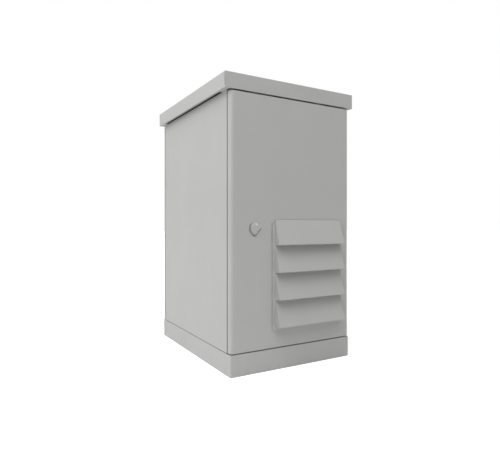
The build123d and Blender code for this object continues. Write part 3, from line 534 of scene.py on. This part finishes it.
def makeJointShadowFill(settings):
    panelLow, panelHigh = nodeBox("side_panel_left")
    doorLow, doorHigh = nodeBox("door_leaf")
    rearLow, roofLow, roofHigh = nodeBox("rear_cover")[0], *nodeBox("roof_cap")
    plinthTop, frameSide = nodeBox("plinth_front")[1][2], nodeBox("front_frame")[0][0]
    bulge, overlap, seam, seamGap, seamOver, hingeGap = (
        settings[key] / 1000 for key in ("bulgeMm", "overlapMm", "seamTapeMm", "seamGapMm", "seamOverMm",
                                         "hingeGapMm"))
    topTape, topHigh, topGap, plate = (
        settings[key] / 1000 for key in ("topTapeMm", "topTapeHighMm", "topGapMm", "cornerPlateMm"))
    mastic, wide, sheet, slotLow, slotTop = (
        settings[key] / 1000 for key in ("masticBackMm", "slotWideMm", "sheetMm", "slotLowMm", "slotTopMm"))
    spans = [((panelLow[0] - bulge, panelLow[1], plinthTop - overlap),
              (frameSide, panelHigh[1], panelLow[2] + overlap), 1),
             ((panelLow[0] - topTape, roofLow[1] + plate, panelHigh[2] - topHigh),
              (panelLow[0], roofHigh[1] - plate, panelHigh[2] - topGap), 1),
             ((frameSide - seam, panelHigh[1] + seamGap, doorLow[2]),
              (frameSide, rearLow[1] - seamGap, doorHigh[2]), 2)]
    shadowTapes = []
    for low, high, axis in spans:
        shadowTapes.append(barSurface(low, high, axis))
        shadowTapes.append(barSurface((-high[0], *low[1:]), (-low[0], *high[1:]), axis))
    for side, gap in ((1, seamGap), (-1, hingeGap)):
        ends = sorted((side * (panelLow[0] - bulge), side * frameSide))
        shadowTapes.append(barSurface((ends[0], doorHigh[1] + gap, doorLow[2]),
                                (ends[1], panelLow[1] + seamOver, doorHigh[2]), 2))
    # Painted shade: these dark tapes stand in for the shadow in the joints
    makePiece("jointShadowTape", shadowTapes, "cabinet", "foam_rubber", [])
    spanZ = (roofLow[2] + slotLow, roofHigh[2] - slotTop)
    shadowBeads = []
    for sideX in (1, -1):
        for sideY in (1, -1):
            spanX = sorted((sideX * (roofLow[0] + mastic), sideX * (roofLow[0] + sheet)))
            spanY = sorted((sideY * (roofLow[1] + sheet), sideY * (roofLow[1] + sheet + wide)))
            shadowBeads.append(barSurface((spanX[0], spanY[0], spanZ[0]), (spanX[1], spanY[1], spanZ[1]), 2,
                                    power=settings["masticPower"]))
    # Painted shade: this dark mastic stands in for the shadow in the roof cap's corner slots
    makePiece("roofCornerShadowMastic", shadowBeads, "cabinet", "foam_rubber", [])


makeJointShadowFill(jointShadowFill)
print("stage: lock, joint tape and mastic made")


# Rear cover screws: button heads with a six-sided socket. The head's height falls outwards as a circle's arc; the
# socket is where the distance from the middle, measured across the flats, is under half its width
coverScrews = {"headMm": 6.0, "headHighMm": 3.0, "arcShare": 0.93, "edgeMm": 0.25, "edgeShare": 0.3,
               "shankMm": 3.0, "socketMm": 4.0, "socketDeepMm": 1.7, "sides": 48, "innerSpanMm": (0.0, 2.6),
               "innerSteps": 14, "outerFromMm": 2.8, "outerSteps": 12,
               "placesX": (-282.0, 282.0), "placesZ": (152.52, 611.0, 1069.48)}


def makeCoverScrews(settings):
    low, high = nodeBox("rear_cover_screws")
    head, headHigh, sides = settings["headMm"], settings["headHighMm"], settings["sides"]
    back = high[1] - headHigh / 1000
    turn = (np.arange(sides) / sides * 2 * math.pi)[:, None]
    r = np.concatenate([np.linspace(*settings["innerSpanMm"], settings["innerSteps"]),
                        np.linspace(settings["outerFromMm"], head, settings["outerSteps"])])[None, :]
    flats = np.max([np.abs(r * np.cos(turn - math.pi / 3 * index)) for index in range(3)], axis=0)
    crown = headHigh * np.sqrt(np.clip(1 - (settings["arcShare"] * r / head) ** 2, 0, 1))
    crown = crown * (r < head - 1e-6) * np.clip((head - r) / settings["edgeMm"], settings["edgeShare"], 1)
    face = np.where(flats < settings["socketMm"] / 2, crown - settings["socketDeepMm"], crown) / 1000
    shank = np.broadcast_to([settings["shankMm"], settings["shankMm"], 0.0], (sides, 3))
    reach = np.concatenate([np.broadcast_to(r, face.shape), shank], axis=1) / 1000
    y = np.concatenate([back + face, np.broadcast_to([back, low[1], low[1]], (sides, 3))], axis=1)
    screws = [(np.stack([x / 1000 + reach * np.cos(turn), y, z / 1000 + reach * np.sin(turn)], axis=-1), True, False)
              for x in settings["placesX"] for z in settings["placesZ"]]
    makePiece("coverScrews", screws, "cabinet", "zinc_fasteners", ["rear_cover_screws"])


makeCoverScrews(coverScrews)


# Fan guard: rings and spokes of round wire. A ring is a circle carried round the fan's axis; the spokes are welded
# across the rings in the same plane, each wire's ends closed to a point
fanGuard = {"ringsMm": (25.0, 45.0, 65.0, 84.0), "ringMm": 1.5, "spokes": 4, "spokeMm": 1.3, "aroundSteps": 96,
            "wireSides": 10, "spokeSteps": 9}


def makeFanGuard(settings):
    low, high = nodeBox("fan_guard")
    centre = (low + high) / 2
    steps, sides = settings["aroundSteps"], settings["wireSides"]
    around, turn = np.meshgrid(np.arange(steps) / steps * 2 * math.pi, np.arange(sides) / sides * 2 * math.pi,
                               indexing="ij")
    wires = []
    for ring in settings["ringsMm"]:
        reach = (ring + settings["ringMm"] * np.cos(turn)) / 1000
        y = centre[1] + settings["ringMm"] / 1000 * np.sin(turn)
        wires.append((np.stack([centre[0] + reach * np.cos(around), y, centre[2] + reach * np.sin(around)],
                               axis=-1), True, True))
    for index in range(settings["spokes"]):
        angle = math.pi / settings["spokes"] * index
        way = np.array([math.cos(angle), 0, math.sin(angle)])
        reach = settings["ringsMm"][-1] / 1000
        points = centre + np.linspace(-reach, reach, settings["spokeSteps"])[:, None] * way
        wires.append(wireSurface(points, settings["spokeMm"] / 1000, (-way[2], 0, way[0]), (0, 1, 0), sides))
    makePiece("fanGuardWires", wires, "door", "chrome_wire", ["fan_guard"], smoothDegrees=60)


makeFanGuard(fanGuard)
print("stage: screws and fan guard made")


# Camera: level, turned 30 degrees, solved from the photo's edges
cameraSetup = {"place": (-1.0939, -1.9140, 0.6000), "yawDegrees": -30.0, "focalPixels": 437.8, "frameWidth": 500,
               "sensorMm": 36.0}
cameraData = bpy.data.cameras.new("photoCamera")
cameraData.sensor_width = cameraSetup["sensorMm"]
cameraData.lens = cameraSetup["sensorMm"] * cameraSetup["focalPixels"] / cameraSetup["frameWidth"]
camera = bpy.data.objects.new("photoCamera", cameraData)
camera.location = cameraSetup["place"]
camera.rotation_euler = (math.radians(90), 0, math.radians(cameraSetup["yawDegrees"]))
bpy.context.scene.collection.objects.link(camera)
bpy.context.scene.camera = camera

# Floor and soft studio light: three panels on the left, one high in front and a broad faint one overhead, with a
# soft dome; together they light a level face about one and a half times as much as an upright front one
studio = {"floorHalf": 40.0, "floorColour": "F8F8F8", "domeStrength": 0.222, "nearLift": 0.4, "farLift": 1.0,
          "liftFrom": 1.4, "liftTo": 5.0}
lamps = {
    "overheadPanel": {"place": (0.001, 0.0, 6.0), "target": (0, 0, 0.6), "size": 7.0, "power": 140},
    "upperLeftPanel": {"place": (-2.5, -0.8, 5.0), "target": (0, 0, 0.6), "size": 3.0, "power": 88},
    "leftPanel": {"place": (-4.0, -0.8, 3.8), "target": (0, 0, 0.6), "size": 3.0, "power": 56},
    "leftRearPanel": {"place": (-4.0, 1.5, 3.6), "target": (0, 0, 0.6), "size": 3.0, "power": 48},
    "frontPanel": {"place": (-0.6, -2.6, 5.0), "target": (0, 0, 0.6), "size": 4.0, "power": 106},
}


# 1 where the camera, a mirror or a pane looks straight at the surface, else 0
def seenDirectly(tree):
    path = addNode(tree, "ShaderNodeLightPath")
    glossy = addNode(tree, "ShaderNodeMath", {"operation": "MAXIMUM"}, i0=(path, "Is Camera Ray"),
                     i1=(path, "Is Glossy Ray"))
    return addNode(tree, "ShaderNodeMath", {"operation": "MAXIMUM"}, i0=(glossy, 0),
                   i1=(path, "Is Transmission Ray"))


# White where it is seen directly; elsewhere the plain light of the dome
def makeDome():
    world = bpy.data.worlds.new("studioDome")
    bpy.context.scene.world = world
    world.use_nodes = True
    tree = world.node_tree
    tree.nodes.clear()
    seen = seenDirectly(tree)
    dome = addNode(tree, "ShaderNodeBackground", Color=(1, 1, 1, 1), Strength=studio["domeStrength"])
    white = addNode(tree, "ShaderNodeBackground", Color=(1, 1, 1, 1), Strength=1.0)
    mix = addNode(tree, "ShaderNodeMixShader", Fac=(seen, 0), i1=(dome, 0), i2=(white, 0))
    addNode(tree, "ShaderNodeOutputWorld", Surface=(mix, 0))


# Pale, with its own light only where it is seen directly, and more of it further away: white background, with the
# cabinet's shadow kept around its foot
def makeFloor():
    size = studio["floorHalf"]
    corners = np.array([(-size, -size, 0), (size, -size, 0), (size, size, 0), (-size, size, 0)])
    mesh = bpy.data.meshes.new("studioFloor")
    mesh.from_pydata(corners.tolist(), [], [(0, 1, 2, 3)])
    floor = bpy.data.objects.new("studioFloor", mesh)
    bpy.context.scene.collection.objects.link(floor)
    material, tree, shader = startMaterial("paleFloor")
    shader.inputs["Base Color"].default_value = linearColour(studio["floorColour"])
    shader.inputs["Roughness"].default_value = 0.95
    seen = seenDirectly(tree)
    place = addNode(tree, "ShaderNodeTexCoord")
    away = addNode(tree, "ShaderNodeVectorMath", {"operation": "LENGTH"}, i0=(place, "Object"))
    grow = addNode(tree, "ShaderNodeMapRange", Value=(away, "Value"), From_Min=studio["liftFrom"],
                   From_Max=studio["liftTo"], To_Min=studio["nearLift"], To_Max=studio["farLift"])
    lift = addNode(tree, "ShaderNodeMath", {"operation": "MULTIPLY"}, i0=(seen, 0), i1=(grow, 0))
    shader.inputs["Emission Color"].default_value = (1, 1, 1, 1)
    tree.links.new(lift.outputs[0], shader.inputs["Emission Strength"])
    mesh.materials.append(material)


# A square panel turned so that its light leaves along the way from its place to its target
def addLamp(name, place, target, size, power):
    data = bpy.data.lights.new(name, "AREA")
    data.shape = "SQUARE"
    data.size = size
    data.energy = power
    lamp = bpy.data.objects.new(name, data)
    lamp.location = place
    reach = np.array(target) - np.array(place)
    yaw = math.atan2(reach[1], reach[0]) - math.pi / 2
    pitch = math.atan2(reach[2], math.hypot(reach[0], reach[1]))
    lamp.rotation_euler = (math.pi / 2 + pitch, 0, yaw)
    bpy.context.scene.collection.objects.link(lamp)


makeDome()
makeFloor()
for lampName, lampValues in lamps.items():
    addLamp(lampName, **lampValues)

bpy.context.scene.view_settings.view_transform = "Standard"
print("stage: camera and light set")
